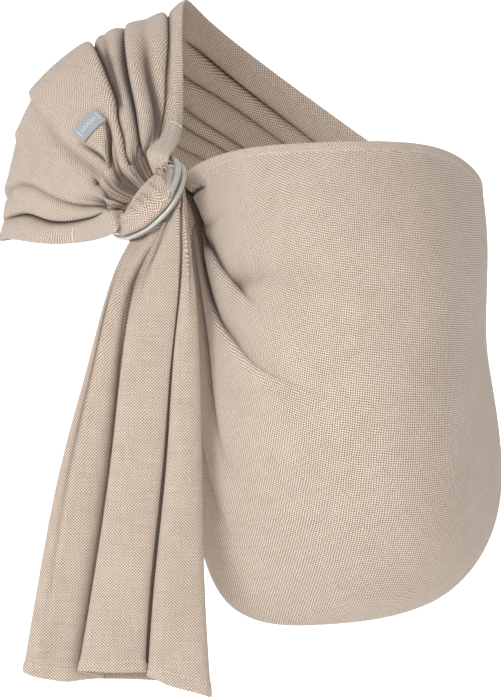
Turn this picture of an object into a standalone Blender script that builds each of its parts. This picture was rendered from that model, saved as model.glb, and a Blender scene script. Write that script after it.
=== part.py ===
"""Baby ring sling, as it hangs on the wearer's right shoulder with its pouch formed at the front.

One woven length runs from the two rings over the shoulder, down across the back, round the left side, across the
front as a pouch, and up through both rings. It turns back over the top ring, passes under the bottom ring and hangs
as the tail. Here each stretch of that length is a solid of its own, with its hems, rings, label and bar tacks.

The frame is in metres: +X to the wearer's left, +Y to the wearer's back, +Z up. The origin is on the crest of the
shoulder, at the cloth's underside. Every stretch of cloth is a sheet through a net of points, and Solidify gives it
its thickness.
"""

import math

import bmesh
import bpy
from mathutils import Matrix, Vector

# Driving dimensions
RING_INNER_DIAMETER = 0.075
RING_WIRE_DIAMETER = 0.0062
RING_CENTRE = Vector((0.012, -0.150, -0.172))
RING_PITCH = 0.0075  # from the bottom ring's plane to the top ring's
CLOTH = 0.0020  # one layer, with its small folds
PLEATED = 0.0040  # cloth gathered in pleats
HEM = 0.0032  # a folded and stitched edge
GAP = 0.0003  # between a solid and its neighbour
LABEL = 0.0009
LABEL_LIFT = 0.0036
TACK = 0.0012

RING_RADIUS = (RING_INNER_DIAMETER + RING_WIRE_DIAMETER) / 2

# The rings' plane stands out from the chest: ALONG lies in the frontal plane, up towards the neck, OUT points to the
# rim that faces the viewer, and LIFT is the normal, away from the chest.
ALONG = Vector((0.677, 0.000, 0.736)).normalized()
OUT = Vector((0.368, -0.866, -0.338)).normalized()
LIFT = OUT.cross(ALONG).normalized()

# The wrap's net. Each station is a line across the cloth, from the neck rail, which becomes the pouch's top rail,
# to the arm rail, which becomes the pouch's seat rail. The stations follow the cloth from the rings round the body.
SHOULDER_STATIONS = (
    # above the gathers
    ((0.040, -0.098, -0.111), (0.021, -0.104, -0.101), (-0.010, -0.106, -0.106),
     (-0.039, -0.104, -0.134), (-0.053, -0.098, -0.173), (-0.049, -0.088, -0.207)),
    # halfway up the shoulder's front
    ((0.041, -0.062, -0.051), (0.010, -0.070, -0.047), (-0.026, -0.074, -0.058),
     (-0.069, -0.070, -0.092), (-0.089, -0.064, -0.159), (-0.088, -0.060, -0.207)),
    # the crest and the outside of the arm
    ((0.040, 0.000, 0.015), (0.005, 0.000, 0.002), (-0.039, 0.000, -0.013),
     (-0.090, 0.000, -0.055), (-0.115, 0.000, -0.119), (-0.124, 0.000, -0.201)),
    # behind the crest
    ((0.059, 0.066, 0.010), (0.021, 0.082, -0.014), (-0.022, 0.092, -0.046),
     (-0.069, 0.088, -0.095), (-0.101, 0.074, -0.148), (-0.114, 0.060, -0.198)),
)
BACK_STATIONS = (
    # over the shoulder blade
    ((0.112, 0.104, -0.030), (0.077, 0.120, -0.069), (0.034, 0.127, -0.112),
     (-0.004, 0.122, -0.150), (-0.018, 0.115, -0.174), (-0.026, 0.103, -0.198)),
    # the middle of the back
    ((0.177, 0.115, -0.077), (0.153, 0.130, -0.130), (0.120, 0.136, -0.188),
     (0.082, 0.136, -0.240), (0.043, 0.130, -0.284), (0.005, 0.120, -0.303)),
    # the left of the back
    ((0.250, 0.092, -0.128), (0.243, 0.110, -0.198), (0.225, 0.120, -0.274),
     (0.196, 0.122, -0.348), (0.158, 0.120, -0.406), (0.112, 0.114, -0.447)),
    # the left side
    ((0.293, 0.015, -0.148), (0.302, 0.020, -0.215), (0.302, 0.022, -0.289),
     (0.299, 0.022, -0.358), (0.290, 0.022, -0.425), (0.267, 0.026, -0.474)),
)
POUCH_STATIONS = (
    # the side of the pouch
    ((0.306, -0.100, -0.153), (0.311, -0.105, -0.214), (0.309, -0.108, -0.289),
     (0.317, -0.105, -0.351), (0.323, -0.095, -0.436), (0.297, -0.060, -0.491)),
    # the pouch's front, right of the middle
    ((0.267, -0.188, -0.130), (0.270, -0.235, -0.218), (0.269, -0.255, -0.311),
     (0.271, -0.245, -0.421), (0.272, -0.180, -0.509), (0.261, -0.098, -0.500)),
    # the middle of the front
    ((0.185, -0.235, -0.126), (0.184, -0.275, -0.211), (0.180, -0.290, -0.311),
     (0.172, -0.275, -0.419), (0.169, -0.195, -0.535), (0.174, -0.096, -0.498)),
    # the pouch's front, left of the middle
    ((0.109, -0.212, -0.129), (0.111, -0.240, -0.189), (0.105, -0.248, -0.277),
     (0.092, -0.235, -0.391), (0.095, -0.170, -0.527), (0.099, -0.095, -0.491)),
    # where the cloth starts to gather
    ((0.071, -0.172, -0.135), (0.074, -0.182, -0.176), (0.065, -0.180, -0.247),
     (0.057, -0.170, -0.337), (0.051, -0.150, -0.432), (0.055, -0.104, -0.418)),
    # just before the rings
    ((0.050, -0.148, -0.144), (0.049, -0.145, -0.158), (0.046, -0.141, -0.170),
     (0.041, -0.136, -0.184), (0.032, -0.130, -0.201), (0.020, -0.122, -0.211)),
)

# Where along the wrap one stretch gives way to the next, counted in stations.
CASING_END, CREST, BLADE, FLANK, SIDE_END, GATHER, THREAD = 1.35, 3.55, 5.50, 8.40, 10.55, 13.70, 15.40
SEAT_EDGE = 0.70  # the share of the width where the pouch's front turns into its seat
HEM_SHARE = 0.024  # the share of the width that a hem takes
SEAM = 0.004  # half the gap between two stretches, in stations or shares of the width
PACE = 0.25  # from one row of a sheet to the next, in stations

# The tail hangs in three folds. Each row is (height, left edge, right edge, depth, how deep the folds are).
TAIL_ROWS = (
    (-0.232, -0.016, 0.050, -0.197, 0.002),
    (-0.275, -0.032, 0.055, -0.205, 0.009),
    (-0.345, -0.049, 0.059, -0.213, 0.012),
    (-0.457, -0.074, 0.061, -0.217, 0.014),
    (-0.586, -0.094, 0.066, -0.219, 0.015),
)
TAIL_FOLDS = 3
NECK_END = 0.78  # the share of the neck's length that is solid; the rest is room for the tail to swing
TAIL_SLANT = 0.020  # how far lower the end hem is at the right than at the left
TAIL_FIRST, TAIL_LAST = math.radians(-70), math.radians(24)  # the part of the rim that the tail comes out under


def ring_point(along, out, lift):
    """A point given from the bottom ring's centre, in the rings' own directions."""
    return RING_CENTRE + ALONG * along + OUT * out + LIFT * lift


def across(along_first, along_last, out, lift, bow):
    """A station in the rings' frame: six points across, bowed away from the chest's side of the rings."""
    row = []
    for step in range(6):
        share = step / 5
        sag = bow * 4 * share * (1 - share)
        row.append(ring_point(along_first + (along_last - along_first) * share, out - sag, lift))
    return row


def over_rings():
    """The station that lies over the rings' inner arcs, a little lower at the arm rail."""
    row = []
    for step in range(6):
        share = step / 5
        angle = math.radians(160 * share - 80)
        lift = 0.013 - 0.009 * max(0.0, share / 0.4 - 1.5) ** 1.5
        row.append(ring_point(-RING_RADIUS * math.sin(angle), -RING_RADIUS * math.cos(angle), lift))
    return row


FOLD_STATION = across(0.028, -0.028, 0.002, 0.006, 0.012)
COVER_STATION = over_rings()
THREAD_STATION = across(0.022, -0.026, 0.012, -0.002, 0.004)
NET = [
    [Vector(point) for point in station]
    for station in (
        FOLD_STATION, COVER_STATION, *SHOULDER_STATIONS, *BACK_STATIONS, *POUCH_STATIONS, THREAD_STATION,
    )
]


def spline(points, place):
    """The point at place, counted in points, on a Catmull-Rom curve through the points."""
    last = len(points) - 1
    index = min(max(int(math.floor(place)), 0), last - 1)
    t = place - index
    p1, p2 = points[index], points[index + 1]
    p0 = points[index - 1] if index else p1 * 2 - p2
    p3 = points[index + 2] if index + 2 <= last else p2 * 2 - p1
    return (
        p1 * 2 + (p2 - p0) * t + (p0 * 2 - p1 * 5 + p2 * 4 - p3) * t * t + (p1 * 3 - p0 - p2 * 3 + p3) * t * t * t
    ) / 2


def wrap_point(along, share):
    """A point of the wrap: along in stations from the rings, share from the neck rail, 0, to the arm rail, 1."""
    return spline([spline(station, share * 5) for station in NET], along)


def tail_row(place):
    """The tail's driving values at place, counted in rows below the rings."""
    return spline([Vector(row[:3]) for row in TAIL_ROWS], place), spline([Vector((*row[3:], 0)) for row in TAIL_ROWS], place)


def hanging_point(place, share):
    """A point of the hanging tail: place in rows, share from its left edge, 0, to its right edge, 1."""
    (height, left, right), (depth, fold, _) = tail_row(place)
    drop = TAIL_SLANT * share * place / (len(TAIL_ROWS) - 1)
    wave = fold * math.cos(2 * math.pi * TAIL_FOLDS * share)
    return Vector((left + (right - left) * share, depth + wave, height - drop))


def rim_point(share):
    """A point under the bottom ring's outer rim, where the tail comes out, from its left end to its right end."""
    angle = TAIL_FIRST + (TAIL_LAST - TAIL_FIRST) * share
    return ring_point(RING_RADIUS * math.sin(angle), RING_RADIUS * math.cos(angle), -0.0085)


def neck_point(place, share):
    """A point of the tail's neck: 0 under the ring's rim, 1 at the first row of the hanging tail."""
    top, bottom = rim_point(share), hanging_point(0, share)
    return top.lerp(bottom, place) + Vector((0, -0.004, 0)) * math.sin(math.pi * place)


def steps(first, last, count):
    return [first + (last - first) * step / count for step in range(count + 1)]


def rows_between(first, last):
    """The rows of one stretch. Its neighbours break at the same places, so that their flat faces agree."""
    first, last = first + SEAM, last - SEAM
    between = [step * PACE for step in range(int(first / PACE) + 1, math.ceil(last / PACE))]
    return [first, *between, last]


def material(name, colour, roughness, metallic=0.0):
    made = bpy.data.materials.new(name)
    made.use_nodes = True
    shader = made.node_tree.nodes["Principled BSDF"]
    shader.inputs["Base Color"].default_value = (*colour, 1.0)
    shader.inputs["Roughness"].default_value = roughness
    shader.inputs["Metallic"].default_value = metallic
    return made


def sheet(name, point, rows, columns, thickness, finish, tube=False):
    """A sheet through point(row, column), made a closed solid by Solidify. A tube's last column meets its first."""
    mesh = bmesh.new()
    grid = [[mesh.verts.new(point(row, column)) for column in columns] for row in rows]
    wide = len(columns)
    for upper, lower in zip(grid, grid[1:]):
        for column in range(wide if tube else wide - 1):
            after = (column + 1) % wide
            mesh.faces.new((upper[column], lower[column], lower[after], upper[after]))
    mesh.normal_update()
    data = bpy.data.meshes.new(name)
    mesh.to_mesh(data)
    mesh.free()
    data.shade_smooth()
    data.materials.append(finish)
    made = bpy.data.objects.new(name, data)
    bpy.context.scene.collection.objects.link(made)
    solidify = made.modifiers.new("thickness", "SOLIDIFY")
    solidify.thickness = thickness
    solidify.offset = 0.0
    solidify.use_even_offset = True
    return made


def lifted(point, height, step=0.02):
    """The same surface, raised off itself along its outward normal."""
    def raised(row, column):
        here = point(row, column)
        down = point(row + step, column) - point(row - step, column)
        side = point(row, column + step) - point(row, column - step)
        return here + down.cross(side).normalized() * height
    return raised


def wrap_sheets(finish):
    """The wrap's stretches, from the casing's edge to the rings again."""
    inner, outer = HEM_SHARE + SEAM, 1 - HEM_SHARE - SEAM
    gathered = 4 * SEAM  # more room beside the hems where the cloth is narrow
    stretches = (
        ("shoulder_pleats", CASING_END, CREST, inner + gathered, outer - gathered, 14, PLEATED),
        ("shoulder_cap", CREST, BLADE, inner, outer, 14, PLEATED),
        ("back_panel", BLADE, FLANK, inner, outer, 12, PLEATED),
        ("side_wrap", FLANK, SIDE_END, inner, outer, 12, CLOTH),
        ("pouch_front", SIDE_END, GATHER, inner, SEAT_EDGE - SEAM / 2, 12, CLOTH),
        ("pouch_seat", SIDE_END, GATHER, SEAT_EDGE + SEAM / 2, outer, 7, CLOTH),
        ("pouch_gather", GATHER, THREAD, inner + gathered, outer - gathered, 14, CLOTH),
    )
    for name, first, last, top, bottom, columns, thickness in stretches:
        sheet(name, wrap_point, rows_between(first, last), steps(top, bottom, columns), thickness, finish)


def wrap_hems(finish):
    """The folded and stitched rails of the wrap."""
    hems = (
        ("neck_rail_hem", CASING_END, BLADE, 0.0),
        ("back_top_hem", BLADE, FLANK, 0.0),
        ("pouch_top_hem", FLANK, THREAD, 0.0),
        ("arm_rail_hem", CASING_END, BLADE, 1.0),
        ("back_lower_hem", BLADE, FLANK, 1.0),
        ("pouch_seat_hem", FLANK, THREAD, 1.0),
    )
    for name, first, last, rail in hems:
        edge = sorted((rail, abs(rail - HEM_SHARE)))
        sheet(name, wrap_point, rows_between(first, last), edge, HEM, finish)


def ring(name, lift, finish):
    """One aluminium ring, with its origin at its pivot in the casing."""
    turn = Matrix((ALONG, OUT, -LIFT)).transposed().to_4x4()
    bpy.ops.mesh.primitive_torus_add(
        major_segments=40, minor_segments=10, major_radius=RING_RADIUS, minor_radius=RING_WIRE_DIAMETER / 2,
    )
    made = bpy.context.object
    made.name = name
    made.data.name = name
    made.data.transform(turn)
    made.data.transform(Matrix.Translation(OUT * RING_RADIUS))
    made.location = ring_point(0, -RING_RADIUS, lift)
    made.data.shade_smooth()
    made.data.materials.append(finish)
    return made


def casing_point(angle, turn):
    """A point of the sleeve round both rings' inner arcs: angle along the arc, turn round the sleeve."""
    half_wide, half_high = 0.0062, 0.0120
    middle = RING_PITCH / 2 + 0.0022
    corner = 0.55  # rounds the section: 1 is an ellipse
    x, y = math.cos(turn), math.sin(turn)
    squared = (abs(x) ** (2 / corner / 2) + abs(y) ** (2 / corner / 2)) ** (-corner)
    radius = RING_RADIUS + half_wide * x * squared
    return ring_point(radius * math.sin(angle), -radius * math.cos(angle), middle + half_high * y * squared)


def casing(finish):
    """The gathered end of the cloth, sewn round both rings, as a sleeve that they turn in."""
    turns = [2 * math.pi * step / 20 for step in range(20)]
    arc = math.radians(42)
    sheet("ring_casing", casing_point, steps(-arc, arc, 12), turns, CLOTH, finish, tube=True)


def turn_point(angle, place):
    """A point of the cloth that turns back over the top ring: angle along the rim, place from inside to outside."""
    rim = RING_RADIUS * math.cos(angle)
    section = [
        Vector((rim * 0.10, 0.0055, 0)),
        Vector((rim * 0.16, 0.0140, 0)),
        Vector((rim * 0.50, 0.0190, 0)),
        Vector((rim - 0.0020, 0.0168, 0)),
        Vector((rim + 0.0056, 0.0115, 0)),
        Vector((rim + 0.0062, 0.0078, 0)),
    ]
    out, lift, _ = spline(section, place * 5)
    return ring_point(RING_RADIUS * math.sin(angle), out, lift)


def turned_cloth(finish):
    arc = math.radians(50)
    sheet("ring_turn", turn_point, steps(-arc, arc, 14), steps(0, 1, 12), CLOTH, finish)


def tail(finish):
    """The tail: its neck under the rings, the hanging cloth, its end hem and its two side hems."""
    last = len(TAIL_ROWS) - 1
    hem = 0.012 / (TAIL_ROWS[-2][0] - TAIL_ROWS[-1][0])  # a 12 mm hem, in rows
    side = 0.035  # a side hem's share of the width
    width = steps(side + 2 * SEAM, 1 - side - 2 * SEAM, 24)
    sheet("tail_neck", neck_point, steps(0.0, NECK_END, 5), steps(0, 1, 24), CLOTH, finish)
    sheet("tail_drop", hanging_point, steps(0.0, last - hem - SEAM, 14), width, CLOTH, finish)
    sheet("tail_end_hem", hanging_point, steps(last - hem, last, 1), width, HEM, finish)
    sheet("tail_left_hem", hanging_point, steps(0.0, last, 14), steps(0, side, 1), HEM, finish)
    sheet("tail_right_hem", hanging_point, steps(0.0, last, 14), steps(1 - side, 1, 1), HEM, finish)


def trimmings(woven, thread):
    """The woven label on the shoulder and the bar tacks that lock the hems."""
    on_pleats = lifted(wrap_point, LABEL_LIFT)
    on_hem = lifted(wrap_point, HEM / 2 + TACK / 2 + GAP, 0.008)
    sheet("label_tab", on_pleats, steps(2.66, 2.93, 3), steps(0.425, 0.555, 4), LABEL, woven)
    sheet("neck_bar_tack", on_hem, steps(2.02, 2.05, 1), steps(0.009, 0.020, 1), TACK, thread)
    sheet("arm_bar_tack", on_hem, steps(2.21, 2.24, 1), steps(0.979, 0.990, 1), TACK, thread)


def main():
    for old in list(bpy.data.objects):
        bpy.data.objects.remove(old)
    cloth = material("woven_cloth", (0.62, 0.51, 0.42), 0.9)
    aluminium = material("anodised_aluminium", (0.74, 0.74, 0.70), 0.35, 1.0)
    woven = material("label_ribbon", (0.50, 0.53, 0.58), 0.7)
    thread = material("sewing_thread", (0.85, 0.80, 0.72), 0.8)
    wrap_sheets(cloth)
    wrap_hems(cloth)
    casing(cloth)
    ring("ring_bottom", 0.0, aluminium)
    ring("ring_top", RING_PITCH, aluminium)
    turned_cloth(cloth)
    tail(cloth)
    trimmings(woven, thread)


main()
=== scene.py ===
"""The looks of the baby ring sling: woven cloth with folds and gathers, hems, stitches, rings and label.

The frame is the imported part's: metres, +X to the wearer's left, +Y to the wearer's back, +Z up, and the
origin on the crest of the shoulder. Each stretch of cloth is a smooth net of guide points with folds pressed
into it along lines. Places on a net are counted in stations along the cloth and in shares of its width, as in
the part itself.
"""

import math

import bmesh
import bpy
import numpy as np
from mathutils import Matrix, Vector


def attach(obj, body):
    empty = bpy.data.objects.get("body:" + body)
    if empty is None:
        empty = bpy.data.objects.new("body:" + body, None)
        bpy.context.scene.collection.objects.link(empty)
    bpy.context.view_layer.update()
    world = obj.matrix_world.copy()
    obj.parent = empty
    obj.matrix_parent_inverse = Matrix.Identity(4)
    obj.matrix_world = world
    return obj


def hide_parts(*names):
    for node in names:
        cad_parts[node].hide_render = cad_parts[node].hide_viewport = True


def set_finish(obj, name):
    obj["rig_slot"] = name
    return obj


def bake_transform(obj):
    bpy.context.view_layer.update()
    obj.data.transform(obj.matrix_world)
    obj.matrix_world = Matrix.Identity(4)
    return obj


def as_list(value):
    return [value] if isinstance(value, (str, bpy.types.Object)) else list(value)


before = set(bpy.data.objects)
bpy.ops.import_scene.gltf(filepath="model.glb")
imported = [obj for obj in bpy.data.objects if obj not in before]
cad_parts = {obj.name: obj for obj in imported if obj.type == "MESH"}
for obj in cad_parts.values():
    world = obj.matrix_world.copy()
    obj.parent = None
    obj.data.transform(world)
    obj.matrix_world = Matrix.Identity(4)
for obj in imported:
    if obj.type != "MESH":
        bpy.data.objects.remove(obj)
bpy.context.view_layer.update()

# Driving sizes, in metres
RING_RADIUS = 0.0406
WIRE_RADIUS = 0.0028
RING_CENTRE = np.array((0.012, -0.150, -0.172))
RING_PITCH = 0.0075  # from the bottom ring's plane to the top ring's
CLOTH = 0.0010  # one layer of cloth
HEM_WIDTH = 0.0105
HEM_HALF = 0.0012  # half the thickness of a hem, which is three layers
STITCH_PITCH = 0.0033
STITCH_LENGTH = 0.0024
STITCH_RADIUS = 0.00030
STITCH_INSET = 0.0016  # from a hem's inner edge to its row of stitches
WEAVE = 0.0026  # the repeat of the woven pattern
MILLI = 0.001
SEED = 7
PAINTED_SHADE_DEPTH = 0.0075  # a fold this deep gets the most painted shade at its bottom
INNER_PAINTED_SHADE_DEPTH = 0.018  # the same for the painted shade on the inner face
PAINTED_SHADE_POWER = 2.5  # how closely the painted shade keeps to the bottom of a fold

COLUMNS = 176  # across each stretch of the wrap
FINE = np.linspace(0.0, 1.0, 401)  # shares at which rows are measured
RELAXING = 400  # rounds in which a cloth is spread flat
RELAXING_EASE = 6  # what the pulls on a point are divided by in each round
SPREAD_STEPS = 4  # points of the flat net for each guide point
OPEN_WIDTH = 0.26  # a cloth at least this wide is open, and its folds have their full width
NARROWEST = 0.28  # the share of their width that folds keep where the cloth is drawn together
FOLD_ZONE = 0.004  # how far to either side of a fold columns crowd together
FOLD_FULL = 0.004  # a fold this deep draws the most columns to it
LAP_REACH = 0.0025  # how far from a fold's line its lap is widest
LAP_DEPTH = 0.005  # a fold this deep has its whole lap


def unit(vectors):
    return vectors / np.maximum(np.linalg.norm(vectors, axis=-1, keepdims=True), 1e-12)


# The rings' own directions: ALONG the gathers, up towards the neck; OUT to the rim that faces the viewer;
# LIFT away from the chest.
ALONG = unit(np.array((0.677, 0.000, 0.736)))
OUT = unit(np.array((0.368, -0.866, -0.338)))
LIFT = unit(np.cross(OUT, ALONG))


def ring_point(along, out, lift):
    """A point given from the bottom ring's centre, in the rings' own directions."""
    return RING_CENTRE + ALONG * along + OUT * out + LIFT * lift


# ---------------------------------------------------------------------------------------------- the nets

SHOULDER_STATIONS = (
    # above the gathers
    ((0.040, -0.098, -0.111), (0.021, -0.104, -0.101), (-0.010, -0.106, -0.106),
     (-0.039, -0.104, -0.134), (-0.053, -0.098, -0.173), (-0.049, -0.088, -0.207)),
    # halfway up the shoulder's front
    ((0.041, -0.062, -0.051), (0.010, -0.070, -0.047), (-0.026, -0.074, -0.058),
     (-0.069, -0.070, -0.092), (-0.089, -0.064, -0.159), (-0.088, -0.060, -0.207)),
    # the crest and the outside of the arm
    ((0.040, 0.000, 0.015), (0.005, 0.000, 0.002), (-0.039, 0.000, -0.013),
     (-0.090, 0.000, -0.055), (-0.115, 0.000, -0.119), (-0.124, 0.000, -0.201)),
    # behind the crest
    ((0.059, 0.066, 0.010), (0.021, 0.082, -0.014), (-0.022, 0.092, -0.046),
     (-0.069, 0.088, -0.095), (-0.101, 0.074, -0.148), (-0.114, 0.060, -0.198)),
)
BACK_STATIONS = (
    # over the shoulder blade
    ((0.112, 0.104, -0.030), (0.077, 0.120, -0.069), (0.034, 0.127, -0.112),
     (-0.004, 0.122, -0.150), (-0.016, 0.116, -0.172), (-0.021, 0.103, -0.192)),
    # the middle of the back
    ((0.177, 0.115, -0.077), (0.153, 0.130, -0.130), (0.120, 0.136, -0.188),
     (0.082, 0.136, -0.240), (0.043, 0.130, -0.284), (0.005, 0.120, -0.303)),
    # the left of the back
    ((0.250, 0.092, -0.128), (0.243, 0.110, -0.198), (0.225, 0.120, -0.274),
     (0.196, 0.122, -0.348), (0.158, 0.120, -0.406), (0.112, 0.114, -0.447)),
    # the left side
    ((0.293, 0.015, -0.148), (0.302, 0.020, -0.215), (0.302, 0.022, -0.289),
     (0.299, 0.022, -0.358), (0.290, 0.022, -0.425), (0.267, 0.026, -0.474)),
)
POUCH_STATIONS = (
    # the side of the pouch
    ((0.306, -0.100, -0.153), (0.311, -0.105, -0.214), (0.309, -0.108, -0.289),
     (0.317, -0.105, -0.351), (0.323, -0.095, -0.436), (0.297, -0.060, -0.491)),
    # the pouch's front, right of the middle
    ((0.267, -0.188, -0.130), (0.270, -0.235, -0.218), (0.269, -0.255, -0.311),
     (0.271, -0.245, -0.421), (0.272, -0.180, -0.509), (0.261, -0.098, -0.500)),
    # the middle of the front
    ((0.185, -0.235, -0.126), (0.184, -0.275, -0.211), (0.180, -0.290, -0.311),
     (0.172, -0.275, -0.419), (0.169, -0.195, -0.535), (0.174, -0.096, -0.498)),
    # the pouch's front, left of the middle
    ((0.109, -0.212, -0.129), (0.111, -0.240, -0.189), (0.105, -0.248, -0.277),
     (0.092, -0.235, -0.391), (0.095, -0.170, -0.527), (0.099, -0.095, -0.491)),
    # where the cloth starts to gather
    ((0.071, -0.172, -0.135), (0.074, -0.182, -0.176), (0.065, -0.180, -0.247),
     (0.057, -0.170, -0.337), (0.051, -0.150, -0.432), (0.055, -0.104, -0.418)),
    # just before the rings
    ((0.050, -0.148, -0.144), (0.049, -0.145, -0.158), (0.046, -0.141, -0.170),
     (0.041, -0.136, -0.184), (0.032, -0.130, -0.201), (0.020, -0.122, -0.211)),
)


def across_rings(first, last, out, lift, bow):
    """A station in the rings' frame: six points, bowed away from the viewer's side of the rings."""
    shares = np.linspace(0, 1, 6)
    return [ring_point(first + (last - first) * s, out - bow * 4 * s * (1 - s), lift) for s in shares]


# The station that lies over the rings' inner arcs and hides their ends, as along, out and lift in millimetres
OVER_RINGS = ((43, -1, 14), (31, -27, 22), (11, -39, 23), (-11, -38, 23.5), (-30, -8, 25), (-43, 20, 13.5))



WRAP_NET = np.array(
    (
        across_rings(0.028, -0.028, 0.002, 0.006, 0.012),
        [ring_point(*(MILLI * np.array(point))) for point in OVER_RINGS],
        *SHOULDER_STATIONS,
        *BACK_STATIONS,
        *POUCH_STATIONS,
        across_rings(0.022, -0.026, 0.012, -0.002, 0.004),
    ),
    float,
)

# The cloth that turns back over the top ring, in millimetres: (place along the rim, how far it goes over the
# ring's bar from 0, inside it, to 1, round it, then the section from the gathers to its crest, as out and
# lift). From the crest it follows the steps in ROUND_BAR, which are out and lift from the bar's middle.
TURN_SECTIONS = (
    (34, 0.0, (5, -4), (3, 3), (4, 8), (9, 10)),
    (26, 0.0, (3, -5), (1, 6), (4, 12.5), (13, 15)),
    (15, 1.0, (0, -5), (0, 6), (3, 14.5), (19, 17.5)),
    (-4, 1.0, (1, -5), (2, 6), (4.5, 15), (22, 18)),
    (-22, 1.0, (5, -5), (7, 5), (10.5, 13.5), (19, 16.5)),
    (-39, 1.0, (4, -4), (4, 3), (4, 8), (6, 12)),
)
INSIDE_BAR = 0.0085  # from where the cloth goes round the bar to where it goes down inside it
AROUND_BAR = 0.0041  # from the bar's middle to the cloth that goes round it
ROUND_BAR = ((-5.5, 8.2), (-0.5, 5.0), (3.2, 2.6), (4.1, -0.6), (2.6, -3.2), (-1.0, -3.9), (-6.0, -4.2))


def turn_net():
    """The turned cloth's net: a row for each step of the section, a column for each place along the rim."""
    columns = []
    for along, over, *section in TURN_SECTIONS:
        bar = math.sqrt(RING_RADIUS**2 - (along * MILLI) ** 2)
        clear = RING_RADIUS + AROUND_BAR
        slant = (math.sqrt(clear**2 - (along * MILLI) ** 2) - bar) / AROUND_BAR
        bar -= (1 - over) * INSIDE_BAR * slant
        column = [ring_point(along * MILLI, out * MILLI, lift * MILLI) for out, lift in section]
        for out, lift in ROUND_BAR:
            column.append(ring_point(along * MILLI, bar + out * slant * MILLI, RING_PITCH + lift * MILLI))
        columns.append(column)
    return np.array(columns).transpose(1, 0, 2)


# The tail. Each row gives its height, the left edges of its three folds and the right edge, its depth and how
# open its folds are.
TAIL_ROWS = (
    (-0.247, -0.021, 0.002, 0.040, 0.054, -0.203, 0.45),
    (-0.316, -0.039, -0.009, 0.034, 0.058, -0.213, 0.60),
    (-0.402, -0.061, -0.018, 0.028, 0.060, -0.217, 0.80),
    (-0.498, -0.079, -0.032, 0.018, 0.062, -0.219, 0.95),
    (-0.580, -0.092, -0.045, 0.012, 0.068, -0.219, 1.00),
)
# The tail's section: (edge it is measured from, step to the right, step away from the viewer, how much lower
# than the row its end is), in millimetres. Its three folds overlap, and two layers more hang behind them.
LEFT, MIDDLE, RIGHT, FAR = range(4)
TAIL_SECTION = (
    (LEFT, 46, 17, -2),
    (LEFT, 22, 15, 0),
    (LEFT, 4, 10, 2),
    (LEFT, 0, 2, 3),
    (LEFT, 9, -4, 0),
    (LEFT, 23, -1, -3),
    (LEFT, 37, 1, -5),
    (MIDDLE, 4, 8, -4),
    (MIDDLE, 19, 14, -3),
    (MIDDLE, 12, 8, 0),
    (MIDDLE, 0, -2, 4),
    (MIDDLE, 9, -9, 5),
    (MIDDLE, 28, -10, 4),
    (RIGHT, -4, -7, 4),
    (RIGHT, 1, 4, 3),
    (RIGHT, 5, 15, 1),
    (RIGHT, 11, 11, 0),
    (RIGHT, 2, -1, 0),
    (RIGHT, 9, -9, -2),
    (RIGHT, 20, -10, -7),
    (FAR, -8, -7, -15),
    (FAR, 0, 0, -18),
    (FAR, -7, 10, -15),
    (FAR, -34, 17, -8),
    (RIGHT, 0, 20, -5),
    (MIDDLE, 16, 22, -4),
)
RIM_EDGES = (-0.036, -0.010, 0.018, 0.030)  # where the folds' edges cross the rim, along the rings


def tail_net():
    """The tail's net, from the rim of the bottom ring to the end."""
    rim = []
    for edge, right, back, _ in TAIL_SECTION:
        along = RIM_EDGES[edge] + 0.30 * right * MILLI
        out = math.sqrt(RING_RADIUS**2 - along**2) - 0.001
        rim.append(ring_point(along, out, -0.0062) + np.array((0, 0.30 * back * MILLI, 0)))
    rows = [rim]
    for height, *edges, depth, openness in TAIL_ROWS:
        last = height == TAIL_ROWS[-1][0]
        row = []
        for edge, right, back, drop in TAIL_SECTION:
            x = edges[edge] + openness * right * MILLI
            row.append((x, depth + openness * back * MILLI, height + last * drop * MILLI))
        rows.append(row)
    return np.array(rows)


# ---------------------------------------------------------------------------------------------- folds

class Fold:
    """A fold pressed into a cloth along a line.

    points are (station, share of the width, depth in mm); a negative depth is a ridge. neck and arm are how
    far the fold reaches to either side, soft is how round its bottom is, and lap is how far one side slides
    over the other: the arm's side over the neck's, or the other way round where negative. All are in mm.
    """

    def __init__(self, points, neck=4.0, arm=4.0, soft=0.6, lap=0.0):
        self.points = np.array(sorted(points), float)
        self.neck, self.arm, self.soft, self.lap = (x * MILLI for x in (neck, arm, soft, lap))

    def read(self, column, along):
        """A smooth curve through one column of the points, and its slope."""
        knots, values = self.points[:, 0], self.points[:, column]
        slopes = np.gradient(values, knots)
        index = np.clip(np.searchsorted(knots, along) - 1, 0, len(knots) - 2)
        width = knots[index + 1] - knots[index]
        t = np.clip((along - knots[index]) / width, 0, 1)
        first, last = values[index], values[index + 1]
        leave, arrive = slopes[index] * width, slopes[index + 1] * width
        value = (
            (2 * t**3 - 3 * t**2 + 1) * first + (t**3 - 2 * t**2 + t) * leave
            + (3 * t**2 - 2 * t**3) * last + (t**3 - t**2) * arrive
        )
        slope = (
            (6 * t**2 - 6 * t) * (first - last) + (3 * t**2 - 4 * t + 1) * leave + (3 * t**2 - 2 * t) * arrive
        ) / width
        return value, slope

    def depth(self, along):
        inside = (along >= self.points[0, 0]) & (along <= self.points[-1, 0])
        return np.where(inside, self.read(2, along)[0], 0.0) * MILLI


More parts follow.
